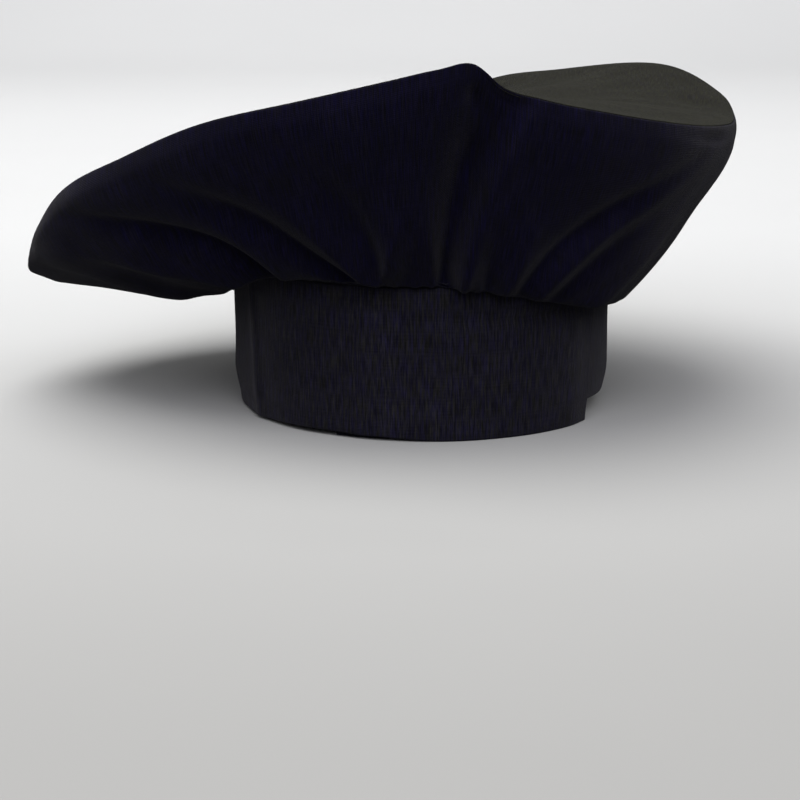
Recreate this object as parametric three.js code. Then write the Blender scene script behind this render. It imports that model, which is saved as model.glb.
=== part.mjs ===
// A mushroom chef hat: a floppy crown of two panels gathered onto a plain band.
// Millimetres, +Z up. The wearer faces +Y, so the overlapping ends of the band are at -Y.
// A turn is an angle in degrees round the hat, 0 at the back and 90 at the wearer's right (+X).

import * as THREE from 'three';

// Band, worn round the head. Its outline is an ellipse that is slightly squared.
const BAND_HALF_WIDTH = 82;
const BAND_HALF_DEPTH = 98;
const BAND_SQUARENESS = 2.1;
const BAND_HEIGHT = 64;
const BAND_WALL = 1.6;
const BAND_STEP = 4;
const BAND_INNER_END = -22;
const BAND_OUTER_END = 409;

// The strip is wound a little more than once. At each turn along it: how high its lower edge is
// above the surface, and how far it lies out over the layer beneath.
const WINDING = [
  { turn: -22, lowerEdge: 0, out: 0 },
  { turn: 0, lowerEdge: 0.6, out: 0 },
  { turn: 25, lowerEdge: 4, out: 0 },
  { turn: 49, lowerEdge: 7.5, out: 0 },
  { turn: 90, lowerEdge: 5, out: 0 },
  { turn: 150, lowerEdge: 0, out: 0 },
  { turn: 270, lowerEdge: 0, out: 0 },
  { turn: 300, lowerEdge: 1, out: 0 },
  { turn: 336, lowerEdge: 2.2, out: 2.2 },
  { turn: 348, lowerEdge: 1.6, out: 3.6 },
  { turn: 365, lowerEdge: 0, out: 3.6 },
  { turn: 400, lowerEdge: 0, out: 3.6 },
  { turn: 409, lowerEdge: 0, out: 2.6 },
];

// The inner end is tucked under the outer one and is a little lower at the top. The top of the
// outer end leans on round the hat past its foot.
const TUCKED_TURNS = 66;
const TUCKED_DROP = 2;
const END_LEAN = 7;
const LEANING_TURNS = 30;
const CREASE_DEPTH = 0.8;
const CREASE_ABOVE = 3;

// Hook and loop pad that joins the two ends.
const PATCH_FROM = -6;
const PATCH_TO = 39;
const PATCH_STEP = 5;
const PATCH_LOWER_EDGE = 10;
const PATCH_UPPER_EDGE = 47;
const PATCH_WALL = 1.4;

// Cloth of the crown, and the gap kept between pieces that meet.
const CLOTH = 1.8;
const GAP = 0.3;

// Section of the side panel at each turn. seamRadius and seamHeight: where it meets the top panel.
// droop: how far it hangs below the band's upper edge. roll: how far outside the band it turns up.
// toe: how far it runs level there. belly: how far it swells past a straight line to the seam, and
// full: the share of that line at which it swells.
const CROWN = [
  { turn: -180, seamRadius: 146, seamHeight: 104, droop: 12, roll: 9, toe: 16, full: 0.62, belly: 18 },
  { turn: -150, seamRadius: 150, seamHeight: 72, droop: 15, roll: 11, toe: 16, full: 0.65, belly: 15 },
  { turn: -122, seamRadius: 157, seamHeight: 48, droop: 19, roll: 14, toe: 14, full: 0.8, belly: 9 },
  { turn: -105, seamRadius: 165.5, seamHeight: 47, droop: 21, roll: 17, toe: 14, full: 0.9, belly: 6 },
  { turn: -93, seamRadius: 171.5, seamHeight: 53, droop: 21, roll: 17, toe: 14, full: 0.95, belly: 6 },
  { turn: -80, seamRadius: 168.5, seamHeight: 74, droop: 17, roll: 14, toe: 14, full: 0.88, belly: 18 },
  { turn: -66, seamRadius: 163.5, seamHeight: 99, droop: 11, roll: 10, toe: 14, full: 0.74, belly: 26 },
  { turn: -50, seamRadius: 158.5, seamHeight: 117, droop: 4, roll: 7, toe: 12, full: 0.62, belly: 21 },
  { turn: -34, seamRadius: 157, seamHeight: 134, droop: -1, roll: 5, toe: 12, full: 0.62, belly: 12 },
  { turn: -18, seamRadius: 156, seamHeight: 145, droop: -2, roll: 5, toe: 10, full: 0.62, belly: 6 },
  { turn: -5, seamRadius: 155, seamHeight: 153.5, droop: -1, roll: 5, toe: 10, full: 0.62, belly: 3 },
  { turn: 2, seamRadius: 155, seamHeight: 158, droop: -1, roll: 5, toe: 10, full: 0.62, belly: 2 },
  { turn: 7, seamRadius: 154, seamHeight: 160, droop: 0, roll: 5, toe: 10, full: 0.62, belly: 2 },
  { turn: 12, seamRadius: 151, seamHeight: 150, droop: 1, roll: 5, toe: 10, full: 0.62, belly: 2 },
  { turn: 18, seamRadius: 148, seamHeight: 145, droop: 3, roll: 5, toe: 10, full: 0.62, belly: 3 },
  { turn: 30, seamRadius: 146, seamHeight: 138, droop: 8, roll: 5, toe: 9, full: 0.62, belly: 4 },
  { turn: 45, seamRadius: 143, seamHeight: 131, droop: 13, roll: 6, toe: 7, full: 0.62, belly: 6 },
  { turn: 65, seamRadius: 137, seamHeight: 125, droop: 16, roll: 7, toe: 6, full: 0.62, belly: 8 },
  { turn: 90, seamRadius: 136, seamHeight: 123, droop: 18, roll: 7, toe: 5, full: 0.64, belly: 12 },
  { turn: 108, seamRadius: 141, seamHeight: 128, droop: 19, roll: 8, toe: 7, full: 0.62, belly: 9 },
  { turn: 130, seamRadius: 146, seamHeight: 135.5, droop: 18, roll: 9, toe: 12, full: 0.62, belly: 10 },
  { turn: 152, seamRadius: 146, seamHeight: 129.5, droop: 15, roll: 9, toe: 15, full: 0.62, belly: 14 },
  { turn: 168, seamRadius: 145, seamHeight: 122, droop: 13, roll: 9, toe: 16, full: 0.62, belly: 17 },
];

// Folds of the side panel, ridges with a positive height and valleys with a negative one. Each
// leaves the band at one turn, passes another half way up, and heads for a third at the seam.
// The widths are degrees from crest to foot, at the band and at the seam. reach: where it ends.
const FOLDS = [
  { atBand: -45, midway: -54, atSeam: -92, height: 6, widthAtBand: 5, widthAtSeam: 8, reach: 0.95 },
  { atBand: -37, midway: -40, atSeam: -78, height: -6, widthAtBand: 2.6, widthAtSeam: 6, reach: 1.1 },
  { atBand: -31, midway: -34.5, atSeam: -54, height: 3, widthAtBand: 1.6, widthAtSeam: 8, reach: 0.95 },
  { atBand: -14, midway: -23, atSeam: -53, height: -4.5, widthAtBand: 2.6, widthAtSeam: 6, reach: 1 },
  { atBand: -11, midway: -15, atSeam: -44, height: 3.2, widthAtBand: 1.4, widthAtSeam: 4.5, reach: 0.9 },
  { atBand: -9, midway: -11, atSeam: -27, height: -4, widthAtBand: 1.6, widthAtSeam: 4.5, reach: 0.9 },
  { atBand: -10, midway: -5.5, atSeam: 2, height: 4, widthAtBand: 1.3, widthAtSeam: 4, reach: 0.75 },
  { atBand: -4, midway: -2, atSeam: -2, height: -4, widthAtBand: 2, widthAtSeam: 3, reach: 0.6 },
  { atBand: 3, midway: 1, atSeam: -6, height: 4, widthAtBand: 1.4, widthAtSeam: 4, reach: 0.8 },
  { atBand: 5, midway: 5, atSeam: 11.5, height: -11, widthAtBand: 2.4, widthAtSeam: 7, reach: 1.1 },
  { atBand: 8, midway: 8.5, atSeam: 15, height: 7.5, widthAtBand: 1.5, widthAtSeam: 4.5, reach: 1.1 },
  { atBand: 13, midway: 12.5, atSeam: 14, height: 3, widthAtBand: 1, widthAtSeam: 2, reach: 0.35 },
  { atBand: 15, midway: 14.5, atSeam: 20, height: -5, widthAtBand: 1.8, widthAtSeam: 5, reach: 0.7 },
  { atBand: 17.5, midway: 19.5, atSeam: 32, height: 4, widthAtBand: 1.8, widthAtSeam: 6, reach: 0.75 },
  { atBand: 24, midway: 28.5, atSeam: 70, height: -4.8, widthAtBand: 2.4, widthAtSeam: 4.5, reach: 1 },
  { atBand: 28, midway: 35.5, atSeam: 76, height: 4.5, widthAtBand: 2.2, widthAtSeam: 6, reach: 0.95 },
  { atBand: 32, midway: 42, atSeam: 82, height: -2.5, widthAtBand: 1.6, widthAtSeam: 4.5, reach: 0.85 },
  { atBand: 41, midway: 53, atSeam: 86, height: 6, widthAtBand: 5, widthAtSeam: 9, reach: 0.9 },
];
const FOLD_RISE = 0.3;
const FOLD_FADE = 0.45;
const RIDGE_SHARPNESS = 1.4;
const NARROWEST_FOLD = 2.2;

// Near the seam the side panel swells and turns in, which starts at this share of the way.
const SHOULDER = 3.4;
const SHOULDER_FROM = 0.62;
const SHOULDER_SCALE = 6.75;

// Even gathers round the rest of the panel, from the wearer's right side by the front to the left.
const GATHERS = 18;
const GATHER_HEIGHT = 3;
const GATHERED_BEYOND = 62;
const GATHERED_ABOUT = 10;

// Top panel: where its middle is, how far it swells, and its soft dents.
const TOP_MIDDLE = new THREE.Vector2(-14, -6);
const TOP_SWELL = 15;
const TOP_WAVES = 16;
const TOP_DENTS = [
  { turn: -60, share: 0.55, depth: 5, along: 0.4, across: 26 },
  { turn: 20, share: 0.6, depth: 4, along: 0.35, across: 16 },
  { turn: 95, share: 0.6, depth: 3, along: 0.3, across: 18 },
  { turn: 175, share: 0.65, depth: 5, along: 0.35, across: 22 },
];

// Grid of the cloth: columns round the hat, closer together at the back, and rows from the band.
const COLUMNS = 120;
const CROWDING = 0.3;
const CURL_ROWS = [0, 0.12, 0.35, 0.7, 1];
const WALL_ROWS = 8;
const CURL_SHARE = 0.15;
const TOP_RINGS = [0.16, 0.34, 0.52, 0.68, 0.82, 0.93, 1];

const clamp = (value, low, high) => Math.min(Math.max(value, low), high);
const mix = (a, b, t) => a + (b - a) * t;

function smooth(t) {
  const x = clamp(t, 0, 1);
  return x * x * (3 - 2 * x);
}

// An angle in degrees, brought between -180 and 180.
function wrapped(turn) {
  return turn - 360 * Math.floor((turn + 180) / 360);
}

// A smooth curve through four rows, at a place between the middle two.
function throughRows(rows, name, turn) {
  const [before, low, high, after] = rows;
  const span = high.turn - low.turn;
  const t = (turn - low.turn) / span;
  const slope = (high[name] - low[name]) / span;
  const blend = (a, b, wa, wb) => ((a * wb + b * wa) / (wa + wb)) * span;
  const gapBefore = low.turn - before.turn;
  const gapAfter = after.turn - high.turn;
  const slopeBefore = gapBefore > 0 ? (low[name] - before[name]) / gapBefore : slope;
  const slopeAfter = gapAfter > 0 ? (after[name] - high[name]) / gapAfter : slope;
  const tangentLow = blend(slopeBefore, slope, gapBefore, span);
  const tangentHigh = blend(slope, slopeAfter, span, gapAfter);
  const t2 = t * t;
  const t3 = t2 * t;
  return (
    (2 * t3 - 3 * t2 + 1) * low[name] +
    (t3 - 2 * t2 + t) * tangentLow +
    (3 * t2 - 2 * t3) * high[name] +
    (t3 - t2) * tangentHigh
  );
}

// A column of the crown's table at any turn. The table goes round and meets itself.
function crownAt(name, turn) {
  const angle = wrapped(turn);
  const count = CROWN.length;
  const row = (k) => {
    const lap = Math.floor(k / count);
    const source = CROWN[k - lap * count];
    return { ...source, turn: source.turn + 360 * lap };
  };
  let k = 0;
  while (row(k + 1).turn <= angle) {
    k += 1;
  }
  return throughRows([row(k - 1), row(k), row(k + 1), row(k + 2)], name, angle);
}

// A column of the winding's table, straight from row to row.
function windingAt(name, turn) {
  let k = 0;
  while (k < WINDING.length - 2 && WINDING[k + 1].turn <= turn) {
    k += 1;
  }
  const low = WINDING[k];
  const high = WINDING[k + 1];
  return mix(low[name], high[name], smooth((turn - low.turn) / (high.turn - low.turn)));
}

// Outline of the band in plan, and the outermost layer that the crown stands on.
function bandRadius(turn) {
  const angle = THREE.MathUtils.degToRad(turn);
  const side = Math.abs(Math.sin(angle)) / BAND_HALF_WIDTH;
  const back = Math.abs(Math.cos(angle)) / BAND_HALF_DEPTH;
  return (side ** BAND_SQUARENESS + back ** BAND_SQUARENESS) ** (-1 / BAND_SQUARENESS);
}

function outerRadius(turn) {
  const angle = wrapped(turn);
  const lastLap = windingAt('out', clamp(angle + 360, 0, BAND_OUTER_END));
  const afterEnd = smooth((angle - (BAND_OUTER_END + END_LEAN - 360)) / 8);
  const overlapped = angle < 90 && angle > -90 ? lastLap * (1 - afterEnd) : 0;
  return bandRadius(turn) + overlapped;
}

// A point at a turn, a distance from the band's axis and a height.
function place(turn, radius, height) {
  const angle = THREE.MathUtils.degToRad(turn);
  return new THREE.Vector3(radius * Math.sin(angle), -radius * Math.cos(angle), height);
}

function bezier(a, b, c, d, t) {
  const u = 1 - t;
  return u * u * u * a + 3 * t * u * u * b + 3 * t * t * u * c + t * t * t * d;
}

// How far the side panel swells near the seam: nothing at both ends, and SHOULDER at two thirds,
// where the cubic is one part in SHOULDER_SCALE.
function shoulder(share) {
  const t = clamp((share - SHOULDER_FROM) / (1 - SHOULDER_FROM), 0, 1);
  return SHOULDER * SHOULDER_SCALE * t * t * (1 - t);
}

// The side panel's outer face in section: first it curls over the band's upper edge and hangs down
// outside, then it turns up and out to the seam. share is 0 at the band and 1 at the seam.
function section(turn, share) {
  const droop = crownAt('droop', turn);
  const base = outerRadius(turn);
  const low = { r: base + crownAt('roll', turn), z: BAND_HEIGHT - droop };
  const seam = { r: crownAt('seamRadius', turn), z: crownAt('seamHeight', turn) };
  if (share < CURL_SHARE) {
    const t = share / CURL_SHARE;
    const lift = 1.7 + 0.12 * Math.max(droop, 0);
    return {
      r: bezier(base - 0.2, base + 0.9, base + 0.4, low.r, t),
      z: bezier(BAND_HEIGHT + GAP, BAND_HEIGHT + lift, low.z, low.z, t),
    };
  }
  const t = (share - CURL_SHARE) / (1 - CURL_SHARE);
  const run = seam.r - low.r;
  const rise = seam.z - low.z;
  const length = Math.hypot(run, rise);
  const belly = crownAt('belly', turn);
  const full = crownAt('full', turn);
  const swollen = {
    r: low.r + full * run + (belly * rise) / length,
    z: low.z + full * rise - (belly * run) / length,
  };
  return {
    r: bezier(low.r, low.r + crownAt('toe', turn), swollen.r, seam.r, t) + shoulder(share),
    z: bezier(low.z, low.z, swollen.z, seam.z, t),
  };
}

// Unit vector along the section, towards the seam.
function sectionTangent(turn, share) {
  const step = 0.004;
  const middle = clamp(share, step, 1 - step);
  const a = section(turn, middle - step);
  const b = section(turn, middle + step);
  const length = Math.hypot(b.r - a.r, b.z - a.z);
  return { r: (b.r - a.r) / length, z: (b.z - a.z) / length };
}

// Turn that a fold passes at a share of the way to the seam: a parabola through its three turns.
function foldTurn(fold, share) {
  const [s0, s1, s2] = [CURL_SHARE, 0.5, 1];
  return (
    (fold.atBand * (share - s1) * (share - s2)) / ((s0 - s1) * (s0 - s2)) +
    (fold.midway * (share - s0) * (share - s2)) / ((s1 - s0) * (s1 - s2)) +
    (fold.atSeam * (share - s0) * (share - s1)) / ((s2 - s0) * (s2 - s1))
  );
}

// How far the folds and gathers lift the side panel off its section.
function foldHeight(turn, share) {
  let height = 0;
  for (const fold of FOLDS) {
    const width = Math.max(mix(fold.widthAtBand, fold.widthAtSeam, share), NARROWEST_FOLD);
    const across = Math.abs(wrapped(turn - foldTurn(fold, share))) / width;
    const along = smooth(share / FOLD_RISE) * smooth((fold.reach - share) / FOLD_FADE + 0.02);
    const power = fold.height > 0 ? RIDGE_SHARPNESS : 2;
    height += fold.height * along * Math.exp(-(across ** power));
  }
  const angle = THREE.MathUtils.degToRad(turn);
  const beyond = Math.abs(wrapped(turn - GATHERED_ABOUT)) - GATHERED_BEYOND;
  const uneven = 0.05 * Math.sin(3 * angle + 0.7) + 0.035 * Math.sin(7 * angle + 1.75);
  const strength = 1.25 - 0.5 * Math.sin(5 * angle);
  const gather = Math.sin(GATHERS * (angle + uneven)) * strength * smooth(share / 0.25);
  height += GATHER_HEIGHT * gather * smooth(beyond / 18) * (1 - share) ** 0.8;
  const hanging = Math.max(crownAt('droop', turn), 0);
  return height * smooth((share - 0.05) / (0.1 + 0.006 * hanging));
}

// The way folds stand off the side panel: straight out at the band, so that their feet keep to its
// edge, and square to the cloth further up.
function foldDirection(turn, share) {
  const tangent = sectionTangent(turn, share);
  const square = smooth((share - 0.1) / 0.3);
  return new THREE.Vector2(mix(1, tangent.z, square), mix(0, -tangent.r, square)).normalize();
}

// Outer face of the side panel.
function sidePoint(turn, share) {
  const { r, z } = section(turn, share);
  const direction = foldDirection(turn, share);
  const height = foldHeight(turn, share);
  return place(turn, r + direction.x * height, z + direction.y * height);
}

// Waves of the seam's height round the hat. The top panel hangs between them like a film, so a
// wave that repeats k times fades towards the middle with the k-th power of the distance.
function seamWaves() {
  const samples = 360;
  const waves = [];
  for (let k = 0; k <= TOP_WAVES; k += 1) {
    let cosine = 0;
    let sine = 0;
    for (let i = 0; i < samples; i += 1) {
      const angle = (2 * Math.PI * i) / samples;
      const height = sidePoint(THREE.MathUtils.radToDeg(angle), 1).z;
      cosine += (height * Math.cos(k * angle)) / samples;
      sine += (height * Math.sin(k * angle)) / samples;
    }
    const both = k === 0 ? 1 : 2;
    waves.push({ cosine: cosine * both, sine: sine * both });
  }
  return waves;
}

const WAVES = seamWaves();

function filmHeight(turn, share) {
  const angle = THREE.MathUtils.degToRad(turn);
  let height = 0;
  WAVES.forEach(({ cosine, sine }, k) => {
    height += share ** k * (cosine * Math.cos(k * angle) + sine * Math.sin(k * angle));
  });
  return height;
}

// Outer face of the top panel. share is 0 in its middle and 1 at the seam.
function topPoint(turn, share) {
  const seam = sidePoint(turn, 1);
  const missed = (seam.z - filmHeight(turn, 1)) * share ** TOP_WAVES;
  let z = filmHeight(turn, share) + missed + TOP_SWELL * (1 - share * share);
  for (const dent of TOP_DENTS) {
    const along = (share - dent.share) / dent.along;
    const across = (share * wrapped(turn - dent.turn)) / dent.across;
    z -= dent.depth * Math.exp(-along * along - across * across) * smooth((1 - share) / 0.2);
  }
  return new THREE.Vector3(
    mix(TOP_MIDDLE.x, seam.x, share),
    mix(TOP_MIDDLE.y, seam.y, share),
    z,
  );
}

// The seam at a turn: the way into the hollow between the two panels, the way across from the side
// panel to the top panel, and how deep the cut edges reach in.
function seamAt(turn) {
  const outward = place(turn, 1, 0);
  const up = new THREE.Vector3(0, 0, 1);
  const side = sectionTangent(turn, 1);
  const reach = sidePoint(turn, 1).sub(topPoint(turn, 0.95));
  const top = new THREE.Vector2(reach.dot(outward), reach.z).normalize();
  const sum = new THREE.Vector2(side.r + top.x, side.z + top.y);
  const halfAngle = Math.acos(clamp(sum.length() / 2, 0, 1));
  sum.normalize();
  const inward = outward.clone().multiplyScalar(-sum.x).addScaledVector(up, -sum.y);
  const across = outward.clone().multiplyScalar(-sum.y).addScaledVector(up, sum.x);
  const depth = CLOTH / clamp(Math.sin(halfAngle), 0.5, 1);
  return { inward, across, depth };
}

// The way from the side panel's outer face to its inner face.
function sideInward(turn, share) {
  const outward = place(turn, 1, 0);
  const tangent = sectionTangent(turn, share);
  const level = smooth(share / 0.02);
  const r = mix(-1, -tangent.z, level);
  const z = mix(0, tangent.r, level);
  return outward.multiplyScalar(r).setZ(z).normalize();
}

function columnTurn(k) {
  const angle = (2 * Math.PI * k) / COLUMNS;
  return THREE.MathUtils.radToDeg(angle - CROWDING * Math.sin(angle));
}

// A closed solid through a row of loops with the same number of points. The last loop meets the
// first one, or both ends are single points, or both ends are flat and closed by a strip of faces.
function solidThrough(loops, ends) {
  const positions = [];
  const starts = loops.map((loop) => {
    const start = positions.length / 3;
    loop.forEach((p) => positions.push(p.x, p.y, p.z));
    return start;
  });
  const faces = [];
  const joinLoops = (a, b) => {
    const count = Math.max(loops[a].length, loops[b].length);
    for (let i = 0; i < count; i += 1) {
      const next = (i + 1) % count;
      const [a0, a1] = loops[a].length > 1 ? [starts[a] + i, starts[a] + next] : [starts[a], starts[a]];
      const [b0, b1] = loops[b].length > 1 ? [starts[b] + i, starts[b] + next] : [starts[b], starts[b]];
      if (a0 !== a1) {
        faces.push(a0, a1, b1);
      }
      if (b0 !== b1) {
        faces.push(a0, b1, b0);
      }
    }
  };
  for (let k = 0; k + 1 < loops.length; k += 1) {
    joinLoops(k, k + 1);
  }
  if (ends === 'joined') {
    joinLoops(loops.length - 1, 0);
  }
  if (ends === 'flat') {
    const count = loops[0].length;
    [starts[0], starts[starts.length - 1]].forEach((start, isLast) => {
      for (let i = 0; i + 1 < count / 2; i += 1) {
        const quad = [start + i, start + count - 1 - i, start + count - 2 - i, start + i + 1];
        if (isLast) {
          quad.reverse();
        }
        faces.push(quad[0], quad[1], quad[2], quad[0], quad[2], quad[3]);
      }
    });
  }
  const geometry = new THREE.BufferGeometry();
  geometry.setAttribute('position', new THREE.Float32BufferAttribute(positions, 3));
  geometry.setIndex(faces);
  return turnedOutward(geometry);
}

// Swaps the faces of a closed mesh if they point into it.
function turnedOutward(geometry) {
  const position = geometry.getAttribute('position');
  const index = geometry.getIndex();
  const [a, b, c] = [new THREE.Vector3(), new THREE.Vector3(), new THREE.Vector3()];
  let volume = 0;
  for (let i = 0; i < index.count; i += 3) {
    a.fromBufferAttribute(position, index.getX(i));
    b.fromBufferAttribute(position, index.getX(i + 1));
    c.fromBufferAttribute(position, index.getX(i + 2));
    volume += a.dot(b.cross(c));
  }
  if (volume < 0) {
    for (let i = 0; i < index.count; i += 3) {
      const second = index.getX(i + 1);
      index.setX(i + 1, index.getX(i + 2));
      index.setX(i + 2, second);
    }
  }
  geometry.computeVertexNormals();
  return geometry;
}

function cloth(colour, roughness) {
  return new THREE.MeshStandardMaterial({ color: colour, roughness, metalness: 0 });
}

// The band: a strip wound round the head, its outer end lying over the tucked one. The upper edge
// of the pad beneath shows as a shallow crease across the outer end.
function bandMesh() {
  const sections = Math.round((BAND_OUTER_END - BAND_INNER_END) / BAND_STEP);
  const loops = [];
  for (let k = 0; k <= sections; k += 1) {
    const turn = mix(BAND_INNER_END, BAND_OUTER_END, k / sections);
    const lower = windingAt('lowerEdge', turn);
    const tucked = smooth((BAND_INNER_END + TUCKED_TURNS - turn) / 10);
    const upper = BAND_HEIGHT - TUCKED_DROP * tucked;
    const overPad = smooth((turn - 360 - PATCH_FROM) / 12);
    const crease = CREASE_DEPTH * overPad;
    const rows = [
      { z: lower, dent: 0 },
      { z: PATCH_UPPER_EDGE, dent: 0 },
      { z: PATCH_UPPER_EDGE + CREASE_ABOVE, dent: crease },
      { z: upper, dent: 0 },
    ];
    const leaning = END_LEAN * smooth((turn - BAND_OUTER_END + LEANING_TURNS) / LEANING_TURNS);
    const leaned = rows.map(({ z, dent }) => {
      const at = turn + (leaning * z) / BAND_HEIGHT;
      const out = windingAt('out', Math.min(at, BAND_OUTER_END));
      return { at, z, radius: bandRadius(at) + out - dent };
    });
    const outer = leaned.map(({ at, z, radius }) => place(at, radius, z));
    const inner = leaned.map(({ at, z, radius }) => place(at, radius - BAND_WALL, z));
    loops.push([...outer, ...inner.reverse()]);
  }
  return new THREE.Mesh(solidThrough(loops, 'flat'), cloth(0x17161c, 0.85));
}

// The hook and loop pad between the two ends of the band.
function patchMesh() {
  const sections = Math.round((PATCH_TO - PATCH_FROM) / PATCH_STEP);
  const loops = [];
  for (let k = 0; k <= sections; k += 1) {
    const turn = mix(PATCH_FROM, PATCH_TO, k / sections);
    const inner = bandRadius(turn) + GAP;
    const outer = inner + PATCH_WALL;
    loops.push([
      place(turn, outer, PATCH_LOWER_EDGE),
      place(turn, outer, PATCH_UPPER_EDGE),
      place(turn, inner, PATCH_UPPER_EDGE),
      place(turn, inner, PATCH_LOWER_EDGE),
    ]);
  }
  return new THREE.Mesh(solidThrough(loops, 'flat'), cloth(0x101014, 0.95));
}

// The side panel: a ring of cloth from the band's upper edge to the outer seam.
function sideMesh() {
  const shares = CURL_ROWS.map((t) => t * CURL_SHARE);
  for (let k = 1; k <= WALL_ROWS; k += 1) {
    shares.push(mix(CURL_SHARE, 1, k / WALL_ROWS));
  }
  const loops = [];
  for (let k = 0; k < COLUMNS; k += 1) {
    const turn = columnTurn(k);
    const seam = seamAt(turn);
    const outer = [];
    const inner = [];
    for (const share of shares) {
      const atSeam = share === 1;
      const point = sidePoint(turn, share);
      if (atSeam) {
        point.addScaledVector(seam.across, -GAP / 2);
      }
      const way = atSeam ? seam.inward : sideInward(turn, share);
      outer.push(point);
      inner.push(point.clone().addScaledVector(way, atSeam ? seam.depth : CLOTH));
    }
    loops.push([...outer, ...inner.reverse()]);
  }
  return new THREE.Mesh(solidThrough(loops, 'joined'), cloth(0x0e0c15, 0.8));
}

// The top panel: a disc of cloth inside the outer seam.
function topMesh() {
  const turns = Array.from({ length: COLUMNS }, (_, k) => columnTurn(k));
  const seams = turns.map(seamAt);
  const down = new THREE.Vector3(0, 0, -1);
  const middle = topPoint(0, 0);
  const outer = [[middle]];
  const inner = [[middle.clone().addScaledVector(down, CLOTH)]];
  for (const share of TOP_RINGS) {
    const atSeam = share === 1;
    outer.push(turns.map((turn, k) => {
      const point = topPoint(turn, share);
      return atSeam ? point.addScaledVector(seams[k].across, GAP / 2) : point;
    }));
    inner.push(outer[outer.length - 1].map((point, k) => {
      const way = atSeam ? seams[k].inward : down;
      return point.clone().addScaledVector(way, atSeam ? seams[k].depth : CLOTH);
    }));
  }
  return new THREE.Mesh(solidThrough([...outer, ...inner.reverse()], 'points'), cloth(0x34352e, 0.8));
}

function named(mesh, name) {
  mesh.name = name;
  return mesh;
}

const hat = new THREE.Group();
hat.add(named(bandMesh(), 'band'));
hat.add(named(patchMesh(), 'closure_patch'));
hat.add(named(sideMesh(), 'crown_side'));
hat.add(named(topMesh(), 'crown_top'));

// The origin is the middle of the hat's outline in plan, on the surface that it rests on.
const outline = new THREE.Box3().setFromObject(hat);
const middle = outline.getCenter(new THREE.Vector3());
hat.position.set(-middle.x, -middle.y, -outline.min.z);

export default hat;
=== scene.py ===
"""A black cotton mushroom chef hat: a plain band wound round the head, and a floppy crown of two
panels gathered onto it, standing on a pale studio floor.

Tables are in millimetres and degrees. A turn is an angle round the hat, 0 at the back and 90 at the
wearer's right (+X). A share runs from 0 at the band to 1 at the seam of the crown.
"""

import math
from collections import namedtuple

import bpy
import numpy as np
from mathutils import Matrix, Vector


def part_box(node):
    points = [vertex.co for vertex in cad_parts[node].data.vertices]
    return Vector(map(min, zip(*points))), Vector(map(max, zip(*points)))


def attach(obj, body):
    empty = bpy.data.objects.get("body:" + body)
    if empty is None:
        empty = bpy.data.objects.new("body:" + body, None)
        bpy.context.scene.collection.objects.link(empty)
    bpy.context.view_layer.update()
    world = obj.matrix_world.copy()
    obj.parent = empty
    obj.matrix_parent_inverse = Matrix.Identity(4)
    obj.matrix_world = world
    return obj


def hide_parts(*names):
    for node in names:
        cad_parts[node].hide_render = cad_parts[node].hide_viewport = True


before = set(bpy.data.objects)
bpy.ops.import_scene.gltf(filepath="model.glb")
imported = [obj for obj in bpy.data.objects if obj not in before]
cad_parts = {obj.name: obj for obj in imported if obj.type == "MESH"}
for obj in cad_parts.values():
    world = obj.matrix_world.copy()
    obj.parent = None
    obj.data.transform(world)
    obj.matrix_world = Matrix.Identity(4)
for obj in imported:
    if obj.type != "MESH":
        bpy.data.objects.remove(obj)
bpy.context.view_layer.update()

bl_info = {
    "name": "Mushroom Chef Hat",
    "version": (1, 0, 0),
    "blender": (4, 5, 0),
    "location": "View3D > Sidebar > Chef Hat",
    "description": "Builds a floppy black chef hat with its cloth finishes and a studio",
    "category": "Add Mesh",
}

MM = 0.001
BAND_LOW, BAND_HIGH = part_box("band")

# Outline of the band in plan, a slightly squared ellipse about the axis of the head.
BAND_HALF_WIDTH = (BAND_HIGH.x - BAND_LOW.x) / 2 / MM
BAND_HALF_DEPTH = 98
BAND_SQUARENESS = 2.1
BAND_HEIGHT = (BAND_HIGH.z - BAND_LOW.z) / MM
HEAD_AXIS = Vector(
    ((BAND_LOW.x + BAND_HIGH.x) / 2, BAND_HIGH.y - BAND_HALF_DEPTH * MM, BAND_LOW.z)
)

# The strip is wound a little more than once: its lower edge above the floor and its distance out
# from the first layer.
Winding = namedtuple("Winding", "turn lower_edge out")
WINDING = [
    Winding(-22, 0, 0),
    Winding(0, 0.6, 0),
    Winding(25, 4, 0),
    Winding(49, 7.5, 0),
    Winding(90, 5, 0),
    Winding(150, 0, 0),
    Winding(270, 0, 0),
    Winding(300, 1, 0),
    Winding(336, 2.2, 2.2),
    Winding(348, 1.6, 3.6),
    Winding(365, 0, 3.6),
    Winding(400, 0, 3.6),
    Winding(409, 0, 2.6),
]
BAND_INNER_END = -22
BAND_OUTER_END = 409

# Over its last turns the top of the outer end leans on past its foot. The first turns are tucked
# under the outer end and a little lower at the top.
END_LEAN = 7
LEANING_TURNS = 30
TUCKED_TURNS = 66
TUCKED_DROP = 2

# Hook and loop tape between the two ends of the strip. TAPE_OUT is its face's distance out from the
# first layer.
TAPE_FROM = -6
TAPE_TO = 39
TAPE_LOWER_EDGE = 10
TAPE_UPPER_EDGE = 47
TAPE_OUT = 1.7
TAPE_WALL = 1.4

# The crease across the outer end, a little above the tape.
CREASE_DEPTH = 1.3
CREASE_ABOVE = 3
CREASE_SPREAD = 2

# A soft bend down the band at the wearer's left, which moves back by BEND_LEAN for each millimetre
# down.
BEND_TURN = -50
BEND_HEIGHT = 1.4
BEND_LEAN = 0.1
BEND_SPREAD = 2.6

# How far the band's lower edge turns in at the wearer's sides, and up to which height.
TUCKED_IN = 3.5
TUCKED_UP_TO = 16

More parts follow.
